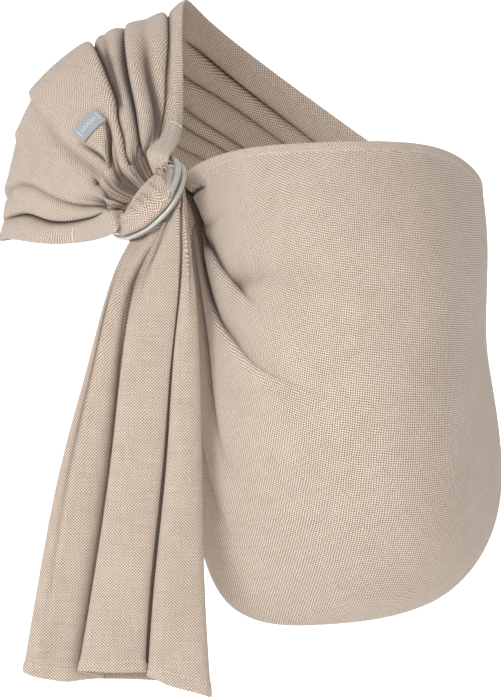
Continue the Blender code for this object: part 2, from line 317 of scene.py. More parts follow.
WRAP_FOLDS = [
    # the shoulder, from the neck to the arm
    Fold([(1.0, 0.19, 0), (1.86, 0.18, 6.5), (2.75, 0.11, 8.5), (3.28, 0.08, 8.5), (4.39, 0.12, 6.5),
          (5.4, 0.15, 0)], neck=4.5, arm=1.6, lap=1.5),
    Fold([(1.5, 0.21, 0), (2.12, 0.20, 8.5), (2.98, 0.20, 8.5), (3.72, 0.20, 3), (4.6, 0.21, 0)], neck=3,
         arm=4.5, soft=4),
    Fold([(0.9, 0.23, 5), (1.93, 0.33, 11.5), (2.64, 0.32, 14.5), (3.17, 0.31, 14.5), (3.78, 0.30, 8.5),
          (4.8, 0.29, 0)], neck=1.6, arm=5, lap=-1.5),
    Fold([(0.9, 0.40, 5), (1.85, 0.43, 9.5), (2.31, 0.43, 9.5), (2.66, 0.41, 11.5), (3.13, 0.41, 13),
          (4.0, 0.43, 9.5), (5.2, 0.42, 0)], neck=5, arm=1.6, lap=2),
    Fold([(2.3, 0.39, 0), (2.56, 0.39, 3), (3.84, 0.38, 3), (4.4, 0.38, 0)], neck=2.5, arm=2.5, soft=2),
    Fold([(1.3, 0.54, 3), (1.67, 0.53, 8.5), (2.3, 0.48, 8.5), (2.6, 0.47, 0)], neck=3.5, arm=1.6),
    Fold([(1.5, 0.55, 0), (1.83, 0.56, 6.5), (2.28, 0.59, 6.5), (2.6, 0.61, 0)], neck=3, arm=2),
    Fold([(1.4, 0.62, 3), (1.83, 0.63, 5), (2.6, 0.65, 5), (3.63, 0.66, 3), (4.5, 0.66, 0)], neck=5.5,
         arm=5.5, soft=5),
    Fold([(0.7, 0.80, 5), (1.9, 0.81, 6.5), (2.92, 0.80, 5), (3.96, 0.89, 5), (4.8, 0.90, 0)], neck=2.5,
         arm=3.5, soft=0.8),
    Fold([(1.1, 0.83, 3), (1.51, 0.86, 8.5), (2.1, 0.88, 11.5), (2.91, 0.89, 13), (3.97, 0.95, 6.5),
          (4.6, 0.95, 0)], neck=1.6, arm=4.5, lap=-2),
    Fold([(1.5, 0.66, 0), (1.64, 0.67, 5), (1.8, 0.68, 0)], neck=1.6, arm=1.6),
    Fold([(1.55, 0.69, 0), (1.70, 0.67, 5), (1.9, 0.66, 0)], neck=1.6, arm=1.6),
    Fold([(2.6, 0.74, 0), (3.3, 0.74, 2.5), (4.4, 0.76, 0)], neck=7.5, arm=7.5, soft=8),
    # the ridges that make the corners of the shoulder's outline
    Fold([(3.2, 0.645, 0), (3.8, 0.645, -5), (4.4, 0.645, -5), (5.2, 0.645, 0)], neck=16, arm=3,
         soft=1.5),
    Fold([(3.2, 0.755, 0), (4.0, 0.755, -3.5), (5.0, 0.755, 0)], neck=10, arm=3, soft=1.5),
    Fold([(3.3, 0.885, 0), (4.0, 0.885, -3), (4.9, 0.885, 0)], neck=9, arm=2.5, soft=1),
    # the back, whose folds stand out on its outer face
    Fold([(5.0, 0.14, 0), (5.5, 0.13, -15), (6.15, 0.12, -15), (6.94, 0.117, -10), (7.8, 0.12, 0)],
         neck=3, arm=3, soft=0.4),
    Fold([(5.0, 0.24, 0), (5.5, 0.23, -10), (5.89, 0.20, -10), (6.66, 0.18, -8), (7.6, 0.18, 0)],
         neck=2.5, arm=4, soft=0.4),
    Fold([(5.3, 0.31, 0), (5.74, 0.30, -8), (6.4, 0.27, -8), (7.4, 0.26, 0)], neck=3, arm=3, soft=0.4),
    Fold([(5.4, 0.36, 0), (5.87, 0.34, -8), (6.32, 0.31, -8), (7.2, 0.31, 0)], neck=2.5, arm=3, soft=0.4),
    Fold([(5.5, 0.41, 0), (6.03, 0.39, -6.5), (6.23, 0.37, -6.5), (7.0, 0.37, 0)], neck=2.5, arm=3,
         soft=0.4),
    Fold([(4.9, 0.53, 0), (5.7, 0.52, -8), (6.5, 0.50, -6.5), (7.5, 0.50, 0)], neck=3, arm=4, soft=0.6),
    Fold([(4.8, 0.66, 0), (5.6, 0.66, -10), (6.4, 0.65, -6.5), (7.6, 0.64, 0)], neck=4, arm=3, soft=0.6),
    Fold([(4.8, 0.80, 0), (5.6, 0.80, -8), (6.6, 0.79, -6.5), (7.4, 0.78, 0)], neck=3, arm=3, soft=0.6),
    # the pouch: a dart at the rings, then the folds that run out of them
    Fold([(14.45, 0.17, 0), (14.62, 0.185, 3), (14.88, 0.255, 6), (15.08, 0.415, 6), (15.5, 0.46, 4)],
         neck=5, arm=2.5, soft=0.5),
    Fold([(12.9, 0.20, 0), (13.4, 0.21, 1), (13.92, 0.22, 2), (14.89, 0.43, 3), (15.5, 0.48, 3)], neck=7,
         arm=5, soft=1.5),
    Fold([(12.9, 0.378, 0), (13.28, 0.368, 4), (13.83, 0.348, 7), (14.25, 0.362, 8.5), (14.72, 0.46, 8),
          (15.4, 0.47, 5)], neck=14, arm=2, soft=0.3, lap=2.5),
    Fold([(11.6, 0.25, 0), (11.9, 0.26, 1.5), (12.35, 0.272, 2.5), (12.81, 0.305, 3), (13.4, 0.35, 3),
          (13.7, 0.37, 0)], neck=14, arm=8, soft=6),
    Fold([(11.9, 0.466, 0), (12.49, 0.474, 2), (12.94, 0.475, 4), (13.48, 0.448, 7), (14.15, 0.448, 8.5),
          (14.56, 0.485, 7.5), (15.3, 0.53, 4)], neck=15, arm=2.2, soft=0.3, lap=2.5),
    Fold([(12.7, 0.66, 0), (13.06, 0.628, 2), (13.43, 0.602, 4), (13.71, 0.568, 6), (13.99, 0.532, 7),
          (14.8, 0.58, 4)], neck=10, arm=5, soft=1.5),
    Fold([(12.6, 0.72, 0), (13.1, 0.70, 2), (13.7, 0.665, 4), (14.8, 0.69, 3)], neck=8, arm=6, soft=2),
]


# The tail's own folds, which run down out of the rings.
TAIL_FOLDS = [
    Fold([(0.5, 0.172, 0), (1.2, 0.168, 4), (2.4, 0.168, 5), (3.6, 0.172, 3), (4.7, 0.175, 0)], neck=7,
         arm=2.5, soft=0.8),
    Fold([(0.0, 0.490, 2), (0.4, 0.475, 3.5), (0.8, 0.468, 3), (1.4, 0.462, 0)], neck=4, arm=3, soft=0.6),
    Fold([(0.0, 0.440, 2), (0.6, 0.430, 3), (1.4, 0.425, 2), (2.4, 0.425, 0)], neck=4, arm=5, soft=1),
    # The last two lie in the cloth hidden under the edges of the folds in front, mostly so that their bottoms
    # take painted shade.
    Fold([(0.4, 0.275, 3), (1.5, 0.275, 6), (3.5, 0.275, 5), (4.9, 0.275, 3)], neck=4, arm=3),
    Fold([(0.1, 0.570, 4), (1.5, 0.565, 6), (3.5, 0.560, 6), (4.9, 0.560, 4)], neck=4, arm=3),
]


def gathers(chance, count, start, reach, depth, first=0.04, last=0.96):
    """Fine puckers from start, where the cloth is drawn together, that die away over about reach."""
    made = []
    for number in range(count):
        share = first + (last - first) * (number + 0.5 + chance.uniform(-0.3, 0.3)) / count
        length = reach * chance.uniform(0.55, 1.35)
        drift = chance.uniform(-0.012, 0.012)
        deep = depth * chance.uniform(0.7, 1.3)
        halfway, end = start + 0.45 * length, start + length
        points = [(start, share, deep), (halfway, share + drift / 2, deep), (end, share + drift, 0)]
        made.append(Fold(points, neck=chance.uniform(2.5, 6.0), arm=chance.uniform(2.5, 6.0), soft=0.4))
    return made


class Cloth:
    """A smooth surface through a net of guide points, with folds pressed into it."""

    def __init__(self, net, folds):
        self.net, self.folds = np.asarray(net, float), folds
        self.laid = None

    @staticmethod
    def weights(count, places, slope=False):
        """What each of count points weighs at places on the natural cubic spline through them."""
        system, second = np.eye(count), np.zeros((count, count))
        for i in range(1, count - 1):
            system[i, i - 1 : i + 2] = 1, 4, 1
            second[i, i - 1 : i + 2] = 6, -12, 6
        bend = np.linalg.solve(system, second)
        index = np.clip(np.floor(places).astype(int), 0, count - 2)
        t = (places - index)[..., None]
        here, after = np.eye(count)[index], np.eye(count)[index + 1]
        if slope:
            steeper = (1 - 3 * (1 - t) ** 2) * bend[index] + (3 * t**2 - 1) * bend[index + 1]
            return after - here + steeper / 6
        curve = ((1 - t) ** 3 - (1 - t)) * bend[index] + (t**3 - t) * bend[index + 1]
        return (1 - t) * here + t * after + curve / 6

    def flat(self, along, share, slope=None):
        """Points of the unfolded net, or their slope, for rows at along and columns at share[row]."""
        stations, guides = self.net.shape[:2]
        rows = np.einsum("ri,ijk->rjk", self.weights(stations, along, slope == "along"), self.net)
        columns = self.weights(guides, share * (guides - 1), slope == "share")
        if slope == "share":
            columns = columns * (guides - 1)
        return np.einsum("rcj,rjk->rck", columns, rows)

    def spread(self):
        """A finer net of where the cloth's points come to lie when it is spread flat, its lengths kept."""
        stations, guides = self.net.shape[:2]
        rows, columns = SPREAD_STEPS * (stations - 1) + 1, SPREAD_STEPS * (guides - 1) + 1
        along, sampled = np.linspace(0, stations - 1, rows), np.linspace(0, 1, columns)
        points = self.flat(along, np.tile(sampled, (rows, 1)))
        across = np.array([np.interp(sampled, FINE, arc) for arc in self.arcs(along)])
        downward = np.linalg.norm(np.diff(points, axis=0), axis=2)
        middle = columns // 2
        across -= across[:, middle : middle + 1]
        # A first guess: the rows one after the other, each turned by how much longer the arm rail is there.
        angle, centre = np.zeros(rows), np.zeros((rows, 2))
        for row in range(1, rows):
            wide = across[row, -1] - across[row, 0]
            steps = downward[row - 1]
            angle[row] = angle[row - 1] + np.clip((steps[-1] - steps[0]) / wide, -0.2, 0.2)
            step = np.median(steps)
            centre[row] = centre[row - 1] + step * np.array((-math.sin(angle[row]), math.cos(angle[row])))
        laid = centre[:, None] + across[..., None] * np.stack([np.cos(angle), np.sin(angle)], -1)[:, None]
        # Then every step of the grid and every diagonal is drawn to its own length, again and again.
        here, there = slice(None, -1), slice(1, None)
        links = (
            ((slice(None), here), (slice(None), there)),
            ((here, slice(None)), (there, slice(None))),
            ((here, here), (there, there)),
            ((here, there), (there, here)),
        )
        wide = np.diff(across, axis=1)
        cell_wide, cell_down = (wide[1:] + wide[:-1]) / 2, (downward[:, 1:] + downward[:, :-1]) / 2
        right = unit(points[:-1, 1:] - points[:-1, :-1] + points[1:, 1:] - points[1:, :-1])
        down = unit(points[1:, :-1] - points[:-1, :-1] + points[1:, 1:] - points[:-1, 1:])
        skew = 2 * cell_wide * cell_down * (right * down).sum(axis=2)
        square = cell_wide**2 + cell_down**2
        lengths = (wide, downward, np.sqrt(square + skew), np.sqrt(square - skew))
        for _ in range(RELAXING):
            moved = np.zeros_like(laid)
            for (a, b), length in zip(links, lengths):
                gap = laid[b] - laid[a]
                now = np.maximum(np.linalg.norm(gap, axis=-1), 1e-9)
                pull = gap * ((now - length) / now / 2)[..., None]
                moved[a] += pull
                moved[b] -= pull
            laid += moved / RELAXING_EASE
        return laid

    def places(self, along, share):
        """Where each point is on its flat cloth, in metres, for the weave."""
        if self.laid is None:
            self.laid = self.spread()
        rows, columns = self.laid.shape[:2]
        lines = np.einsum("ri,ijk->rjk", self.weights(rows, along * SPREAD_STEPS), self.laid)
        return np.einsum("rcj,rjk->rck", self.weights(columns, share * (columns - 1)), lines)

    def arcs(self, along):
        """How far each of the FINE shares is from the neck rail, in each row."""
        rows = self.flat(along, np.tile(FINE, (len(along), 1)))
        steps = np.linalg.norm(np.diff(rows, axis=1), axis=2)
        return np.concatenate([np.zeros((len(along), 1)), np.cumsum(steps, axis=1)], axis=1)

    def shares_at(self, along, distance):
        """The share of each row that is distance from the neck rail, or from the arm rail if negative."""
        arcs = self.arcs(along)
        wanted = np.where(distance < 0, arcs[:, -1] + distance, distance)
        return np.array([np.interp(w, arc, FINE) for w, arc in zip(wanted, arcs)])

    @staticmethod
    def crowd(arcs):
        """How narrow the cloth is drawn in each row: 1 where it is open."""
        return np.clip(arcs[:, -1:] / OPEN_WIDTH, NARROWEST, 1.0)

    def columns(self, along, first, last, count, gain=2.5):
        """Shares for count columns in each row, from first to last, closer together beside the folds."""
        arcs = self.arcs(along)
        density = np.ones_like(arcs)
        crowd = self.crowd(arcs)
        for fold in self.folds:
            depth = np.abs(fold.depth(along))[:, None] / FOLD_FULL
            line = fold.read(1, along)[0]
            centre = np.array([np.interp(s, FINE, arc) for s, arc in zip(line, arcs)])[:, None]
            density += gain * np.minimum(depth, 1.0) * np.exp(-(((arcs - centre) / (FOLD_ZONE * crowd)) ** 2))
        density = np.minimum(density, 1 + 1.5 * gain)
        steps = np.diff(arcs, axis=1) * (density[:, 1:] + density[:, :-1]) / 2
        total = np.concatenate([np.zeros((len(along), 1)), np.cumsum(steps, axis=1)], axis=1)
        made = []
        for row, start, end in zip(total, first, last):
            low, high = np.interp((start, end), FINE, row)
            made.append(np.interp(np.linspace(low, high, count), row, FINE))
        return np.array(made)

    def folded(self, along, share):
        """The folded cloth's points at rows along and columns share[row], and how far out they moved."""
        down, side = self.flat(along, share, "along"), self.flat(along, share, "share")
        outward, armward = unit(np.cross(down, side)), unit(side)
        arcs = self.arcs(along)
        here = np.array([np.interp(s, FINE, arc) for s, arc in zip(share, arcs)])
        crowd = self.crowd(arcs)
        height, slide = np.zeros(share.shape), np.zeros(share.shape)
        for fold in self.folds:
            depth = fold.depth(along)[:, None]
            if not depth.any():
                continue
            line, turn = fold.read(1, along)
            line = np.clip(line, 0, 1)[:, None]
            centre = np.array([np.interp(s, FINE, arc) for s, arc in zip(line, arcs)])
            row_way = self.flat(along, line, "share")
            fold_way = unit(self.flat(along, line, "along") + row_way * turn[:, None, None])
            lean = np.sqrt(1 - np.clip((fold_way * unit(row_way)).sum(2), -0.98, 0.98) ** 2)
            away = (here - centre) * lean
            reach = np.where(away < 0, fold.neck, fold.arm) * crowd
            height -= depth * np.exp(-(np.sqrt(away**2 + fold.soft**2) - fold.soft) / reach)
            if fold.lap:
                over = np.maximum(away * np.sign(fold.lap), 0) / (LAP_REACH * crowd)
                slide -= fold.lap * np.minimum(depth / LAP_DEPTH, 1) * over * np.exp(1 - over)
        return self.flat(along, share) + outward * height[..., None] + armward * slide[..., None], height


def normals(points):
    """Outward unit normals of a grid of points whose rows run along the cloth."""
    return unit(np.cross(np.gradient(points, axis=0), np.gradient(points, axis=1)))


def running(points, axis):
    """Distances along the rows or the columns of a grid of points."""
    steps = np.linalg.norm(np.diff(points, axis=axis), axis=2)
    return np.insert(np.cumsum(steps, axis=axis), 0, 0, axis=axis)


def weave_places(points, share):
    """Where each point of a grid is on its cloth, in metres across and along, for the weave."""
    across = running(points, 1)
    middle = np.array([np.interp(0.5, s, row) for s, row in zip(share, across)])
    return np.stack([across - middle[:, None], running(points, 0)], axis=-1)


# ---------------------------------------------------------------------------------------------- meshes

def mesh_of(name, patches, finish, slot):
    """One object made of patches: grids of points, their places on the cloth and, if given, their painted
    crease shade.
    """
    points, places, painted_crease_shades, quads, start = [], [], [], [], 0
    for grid, place, *painted_crease_shade in patches:
        rows, columns = grid.shape[:2]
        index = start + np.arange(rows * columns).reshape(rows, columns)
        corners = (index[:-1, :-1], index[1:, :-1], index[1:, 1:], index[:-1, 1:])
        quads.append(np.stack(corners, -1).reshape(-1, 4))
        points.append(grid.reshape(-1, 3))
        places.append(place.reshape(-1, 2))
        painted_crease_shades.append(painted_crease_shade[0].ravel() if painted_crease_shade else np.zeros(rows * columns))
        start += rows * columns
    points, places, painted_crease_shades, quads = (np.concatenate(x) for x in (points, places, painted_crease_shades, quads))
    data = bpy.data.meshes.new(name)
    data.vertices.add(len(points))
    data.vertices.foreach_set("co", points.astype(np.float32).ravel())
    data.loops.add(quads.size)
    data.loops.foreach_set("vertex_index", quads.ravel())
    data.polygons.add(len(quads))
    data.polygons.foreach_set("loop_start", np.arange(0, quads.size, 4))
    data.polygons.foreach_set("use_smooth", np.ones(len(quads), bool))
    uv = data.uv_layers.new(name="cloth")
    uv.data.foreach_set("uv", places[quads.ravel()].astype(np.float32).ravel())
    # The painted crease shade: a value for each point that darkens the cloth's colour at the bottoms of
    # folds.
    shade = data.attributes.new("painted_crease_shade", "FLOAT", "POINT")
    shade.data.foreach_set("value", painted_crease_shades.astype(np.float32))
    data.update(calc_edges=True)
    data.validate()
    data.materials.append(finish)
    made = bpy.data.objects.new(name, data)
    bpy.context.scene.collection.objects.link(made)
    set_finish(made, slot)
    return made


def closed_patches(outer, inner, places, height=None):
    """The patches of a closed sheet: its outer face, its inner face and the strips that join their edges.

    height is how far the folds moved each point out. Each face gets painted shade at the bottoms of its
    folds.
    """
    height = np.zeros(outer.shape[:2]) if height is None else height
    # Painted shade: each face is darkened in its colour where the folds pushed it in.
    outer_painted_shade = np.clip(-height / PAINTED_SHADE_DEPTH, 0, 1) ** PAINTED_SHADE_POWER
    inner_painted_shade = np.clip(height / INNER_PAINTED_SHADE_DEPTH, 0, 1) ** PAINTED_SHADE_POWER

    def strip(first, second, place):
        return np.stack([first, second]), np.stack([place, place])

    return [
        (outer, places, outer_painted_shade),
        (inner[:, ::-1], places[:, ::-1], inner_painted_shade[:, ::-1]),
        strip(inner[0], outer[0], places[0]),
        strip(outer[-1], inner[-1], places[-1]),
        strip(outer[:, 0], inner[:, 0], places[:, 0]),
        strip(inner[:, -1], outer[:, -1], places[:, -1]),
    ]


def hem_profile(across):
    """Half a hem's thickness at shares of its width: round at the edges, grooved under the stitches."""
    body = HEM_HALF * np.sqrt(np.maximum(1 - np.abs(2 * across - 1) ** 5, 0))
    groove = 0.35 * HEM_HALF * np.exp(-(((1 - across) * HEM_WIDTH - STITCH_INSET) / 0.0009) ** 2)
    return body - groove


def hem_steps():
    """Shares of a hem's width, closer together at its edges, with one at its row of stitches."""
    across = np.sin(np.linspace(0, math.pi / 2, 12)) ** 2
    return np.unique(np.round(np.append(across, 1 - STITCH_INSET / HEM_WIDTH), 6))


def hem_band(cloth, along, rail):
    """A hem: its steps across, their shares, its middle, its outward directions, and its two faces."""
    across = hem_steps()
    insets = [-max(HEM_WIDTH * a, 1e-6) if rail else HEM_WIDTH * a for a in across]
    share = np.stack([cloth.shares_at(along, inset) for inset in insets], axis=1)
    if rail:
        share, across = share[:, ::-1], across[::-1]
    middle, _ = cloth.folded(along, share)
    facing = normals(middle)
    middle = middle - facing * CLOTH / 2
    half = hem_profile(across)[None, :, None]
    return across, share, middle, facing, middle + facing * half, middle - facing * half


def thread_dash(line, facing, radius):
    """A short raised length of thread that lies on a surface along a line."""
    turns = np.linspace(0, 2 * math.pi, 7)
    way = unit(np.gradient(line, axis=0))
    up = unit(facing)
    side = unit(np.cross(way, up))
    bulge = (radius * np.sin(np.linspace(0.25, math.pi - 0.25, len(line))))[:, None]
    circle = np.cos(turns)[None, :, None] * side[:, None] + np.sin(turns)[None, :, None] * up[:, None]
    tube = (line + 0.4 * bulge * up)[:, None] + bulge[:, None] * circle
    return tube, np.zeros((*tube.shape[:2], 2))


def stitch_mesh(name, rows, finish, slot):
    """Rows of stitches. Each row is (points along a line, outward directions there)."""
    patches = []
    for line, facing in rows:
        gone = np.insert(np.cumsum(np.linalg.norm(np.diff(line, axis=0), axis=1)), 0, 0)
        for start in np.arange(STITCH_PITCH * 0.5, gone[-1] - STITCH_PITCH, STITCH_PITCH):
            spots = start + STITCH_LENGTH * np.linspace(0, 1, 5)
            middle = np.stack([np.interp(spots, gone, line[:, k]) for k in range(3)], axis=1)
            up = np.stack([np.interp(spots, gone, facing[:, k]) for k in range(3)], axis=1)
            patches.append(thread_dash(middle, up, STITCH_RADIUS))
    return mesh_of(name, patches, finish, slot)


# ---------------------------------------------------------------------------------------------- materials

def start_material(name):
    """A new material with its node tree, its shader, and functions that add a node and a maths node."""
    made = bpy.data.materials.new(name)
    made.use_nodes = True
    tree = made.node_tree
    shader = tree.nodes["Principled BSDF"]

    def node(kind, **inputs):
        new = tree.nodes.new(kind)
        for key, value in inputs.items():
            socket = new.inputs[int(key[1:])] if key[0] == "_" and key[1:].isdigit() else new.inputs[key]
            if isinstance(value, bpy.types.NodeSocket):
                tree.links.new(value, socket)
            else:
                socket.default_value = value
        return new

    def maths(operation, *values):
        new = node("ShaderNodeMath", **{f"_{i}": value for i, value in enumerate(values)})
        new.operation = operation
        return new.outputs[0]

    return made, tree, shader, node, maths


def two_tones(node, factor, first, second):
    """A node that mixes two colours."""
    mix = node("ShaderNodeMix", Factor=factor)
    mix.data_type = "RGBA"
    mix.inputs["A"].default_value = first
    mix.inputs["B"].default_value = second
    return mix


def linear(red, green, blue):
    """A display colour, 0 to 255, as the shader's linear one."""
    shares = (x / 255 for x in (red, green, blue))
    return tuple(x / 12.92 if x <= 0.04045 else ((x + 0.055) / 1.055) ** 2.4 for x in shares) + (1.0,)


PAINTED_SHADE_STRENGTH = 0.85  # how far the bottom of a deep fold turns to the painted shade colour
# the colour painted into the bottoms of folds as shade
PAINTED_SHADE_COLOUR = linear(84, 64, 50)
YARN_DRIFT = 4.5  # how far the yarns wander, as an angle of the repeat


def woven_material(name, dark, light, roughness=0.88, repeat=WEAVE, relief=1.0):
    """Two-tone cloth: light and dark yarns over each other in a plain weave, with slubs and a faint fuzz, and
    painted shade at the bottoms of folds.
    """
    made, tree, shader, node, maths = start_material(name)
    places = node("ShaderNodeUVMap")
    places.uv_map = "cloth"
    apart = node("ShaderNodeSeparateXYZ", Vector=places.outputs["UV"])
    turn = 2 * math.pi / repeat
    # Yarns never lie quite straight: they drift to and fro by a part of the repeat.
    drift = node("ShaderNodeTexNoise", Vector=places.outputs["UV"], Scale=0.32 / repeat, Detail=1.0)
    drifts = node("ShaderNodeSeparateXYZ", Vector=drift.outputs["Color"])
    waves = []
    for axis in "XY":
        wander = maths("MULTIPLY", drifts.outputs[axis], YARN_DRIFT)
        waves.append(maths("SINE", maths("MULTIPLY_ADD", apart.outputs[axis], turn, wander)))
    check = maths("MULTIPLY", *waves)
    # Slubs: yarns that are a little thicker or paler than others, drawn out along their own length.
    warp = node("ShaderNodeCombineXYZ", X=maths("MULTIPLY", apart.outputs["X"], 700.0),
                Y=maths("MULTIPLY", apart.outputs["Y"], 45.0))
    weft = node("ShaderNodeCombineXYZ", X=maths("MULTIPLY", apart.outputs["X"], 45.0),
                Y=maths("MULTIPLY", apart.outputs["Y"], 700.0))
    warp_noise = node("ShaderNodeTexNoise", Vector=warp.outputs[0], Scale=1.0, Detail=2.0).outputs["Fac"]
    weft_noise = node("ShaderNodeTexNoise", Vector=weft.outputs[0], Scale=1.0, Detail=2.0).outputs["Fac"]
    slub = maths("ADD", warp_noise, weft_noise)
    cloud = node("ShaderNodeTexNoise", Vector=places.outputs["UV"], Scale=22.0, Detail=3.0).outputs["Fac"]
    share = maths("MULTIPLY_ADD", check, 1.1, 0.5)
    share = maths("ADD", share, maths("MULTIPLY_ADD", slub, 0.55, -0.55))
    share = maths("ADD", share, maths("MULTIPLY_ADD", cloud, 0.30, -0.15))
    # Painted shade: the bottoms of folds, where the cloth lies against itself, are painted darker.
    painted_crease_shade = node("ShaderNodeAttribute")
    painted_crease_shade.attribute_name = "painted_crease_shade"
    ramp = node("ShaderNodeMapRange", Value=share)
    ramp.clamp = True
    mix = two_tones(node, ramp.outputs[0], dark, light)
    # Mixes the painted shade colour into the cloth by the painted crease shade.
    deep = two_tones(node, maths("MULTIPLY", painted_crease_shade.outputs["Fac"], PAINTED_SHADE_STRENGTH), light, PAINTED_SHADE_COLOUR)
    tree.links.new(mix.outputs["Result"], deep.inputs["A"])
    tree.links.new(deep.outputs["Result"], shader.inputs["Base Color"])
    height = maths("ADD", maths("MULTIPLY", maths("ABSOLUTE", check), 0.8), maths("MULTIPLY", slub, 0.25))
    bump = node("ShaderNodeBump", Height=height, Strength=0.75 * relief, Distance=0.0004)
    tree.links.new(bump.outputs[0], shader.inputs["Normal"])
    rough = maths("MULTIPLY_ADD", slub, 0.08, roughness - 0.08)
    tree.links.new(rough, shader.inputs["Roughness"])
    shader.inputs["Sheen Weight"].default_value = 0.18
    shader.inputs["Sheen Roughness"].default_value = 0.6
    shader.inputs["Specular IOR Level"].default_value = 0.25
    return made


def thread_material(name, colour, roughness=0.75):
    """Twisted sewing thread."""
    made, tree, shader, node, _ = start_material(name)
    where = node("ShaderNodeTexCoord").outputs["Object"]
    grain = node("ShaderNodeTexNoise", Vector=where, Scale=1800.0, Detail=2.0).outputs["Fac"]
    mix = two_tones(node, grain, tuple(0.82 * x for x in colour[:3]) + (1.0,), colour)
    tree.links.new(mix.outputs["Result"], shader.inputs["Base Color"])
    bump = node("ShaderNodeBump", Height=grain, Strength=0.4, Distance=0.0002)
    tree.links.new(bump.outputs[0], shader.inputs["Normal"])
    shader.inputs["Roughness"].default_value = roughness
    return made


def ring_material():
    """Satin anodised aluminium, with a fine blasted grain and faint handling marks."""
    made, tree, shader, node, maths = start_material("satin_aluminium")
    where = node("ShaderNodeTexCoord").outputs["Object"]
    grain = node("ShaderNodeTexNoise", Vector=where, Scale=2600.0, Detail=3.0).outputs["Fac"]
    marks = node("ShaderNodeTexNoise", Vector=where, Scale=120.0, Detail=4.0).outputs["Fac"]
    mix = two_tones(node, marks, linear(200, 203, 196), linear(222, 225, 217))
    tree.links.new(mix.outputs["Result"], shader.inputs["Base Color"])
    rough = maths("MULTIPLY_ADD", marks, 0.16, 0.30)
    tree.links.new(rough, shader.inputs["Roughness"])
    bump = node("ShaderNodeBump", Height=grain, Strength=0.15, Distance=0.0001)
    tree.links.new(bump.outputs[0], shader.inputs["Normal"])
    shader.inputs["Metallic"].default_value = 0.75
    return made


def studio_material():
    """The pale paper of the floor and the backdrop."""
    made, tree, shader, node, _ = start_material("studio_paper")
    where = node("ShaderNodeTexCoord").outputs["Object"]
    grain = node("ShaderNodeTexNoise", Vector=where, Scale=60.0, Detail=2.0).outputs["Fac"]
    mix = two_tones(node, grain, (0.93, 0.93, 0.93, 1), (0.95, 0.95, 0.95, 1))
    tree.links.new(mix.outputs["Result"], shader.inputs["Base Color"])
    shader.inputs["Roughness"].default_value = 0.9
    shader.inputs["Emission Color"].default_value = (1, 1, 1, 1)
    shader.inputs["Emission Strength"].default_value = 0.25
    return made


CLOTH_FINISH = woven_material("woven_cloth", linear(143, 121, 104), linear(230, 214, 198))
HEM_FINISH = woven_material("woven_hem", linear(144, 122, 105), linear(230, 215, 199), relief=0.8)
THREAD_FINISH = thread_material("sewing_thread", linear(226, 214, 200))
TACK_FINISH = thread_material("bar_tack_thread", linear(246, 242, 236))
LABEL_FINISH = woven_material("label_ribbon", linear(146, 151, 157), linear(176, 180, 185), 0.6, 0.0009, 0.5)
MOTIF_FINISH = thread_material("label_motif_thread", linear(232, 234, 238), 0.5)
RING_FINISH = ring_material()


# ---------------------------------------------------------------------------------------------- the wrap

SHOULDER_END, BACK_END = 5.5, 10.5  # the stations where one stretch of the wrap gives way to the next
WRAP_START, WRAP_END = 0.12, 15.95


def wrap_cloth():
    """The wrap's surface: its net, its folds and its gathers."""
    chance = np.random.default_rng(SEED)
    folds = list(WRAP_FOLDS)
    folds += gathers(chance, 17, 0.0, 2.0, 6.0, first=0.19, last=0.84)
    near_pouch = gathers(chance, 15, 0.0, 1.4, 3.0, 0.06, 0.94)
    for fold in near_pouch:
        fold.points[:, 0] = 16.0 - fold.points[:, 0]
        fold.points = fold.points[::-1]
    return Cloth(WRAP_NET, folds + near_pouch)


def wrap_rows():
    """Where the wrap's rows lie, and the index of each stretch's first row."""
    shoulder = np.linspace(WRAP_START, SHOULDER_END, 281)
    back = np.linspace(SHOULDER_END, BACK_END, 201)[1:]
    places = ((BACK_END, 12.3, 51), (12.3, 14.6, 171), (14.6, WRAP_END, 61))
    front = np.concatenate([np.linspace(*place)[1:] for place in places])
    return np.concatenate([shoulder, back, front]), (0, len(shoulder) - 1, len(shoulder) + len(back) - 1)


def ring_blend(piece):
    """Bakes the transform of a piece that lies over the rings into its points."""
    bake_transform(piece)


def make_wrap(cloth):
    """The wrap's three stretches of cloth, which share their edge rows."""
    along, starts = wrap_rows()
    inset = 0.4 * HEM_WIDTH
    first = cloth.shares_at(along, inset)
    last = cloth.shares_at(along, -inset)
    share = cloth.columns(along, first, last, COLUMNS)
    outer, height = cloth.folded(along, share)
    inner = outer - normals(outer) * CLOTH
    places = cloth.places(along, share)
    names = ("shoulder_cloth", "back_cloth", "pouch_cloth")
    nodes = (
        ("ring_casing", "shoulder_pleats", "shoulder_cap"),
        ("back_panel", "side_wrap"),
        ("pouch_front", "pouch_seat", "pouch_gather"),
    )
    made = []
    for name, replaced, start, end in zip(names, nodes, starts, (*starts[1:], len(along) - 1)):
        rows = slice(start, end + 1)
        patches = closed_patches(outer[rows], inner[rows], places[rows], height[rows])
        piece = mesh_of(name, patches, CLOTH_FINISH, "cloth")
        if start == 0:
            ring_blend(piece)
        else:
            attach(piece, "wrap")
        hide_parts(*replaced)
        made.append(piece)
    return made


def hem_piece(cloth, name, along, rail):
    """One hem, and the rows of stitches on its outer and inner faces."""
    across, share, middle, facing, outer, inner = hem_band(cloth, along, rail)
    piece = mesh_of(name, closed_patches(outer, inner, weave_places(middle, share)), HEM_FINISH, "hem")
    seam = int(np.argmin(np.abs(across - (1 - STITCH_INSET / HEM_WIDTH))))
    return piece, [(outer[:, seam], facing[:, seam]), (inner[:, seam], -facing[:, seam])]


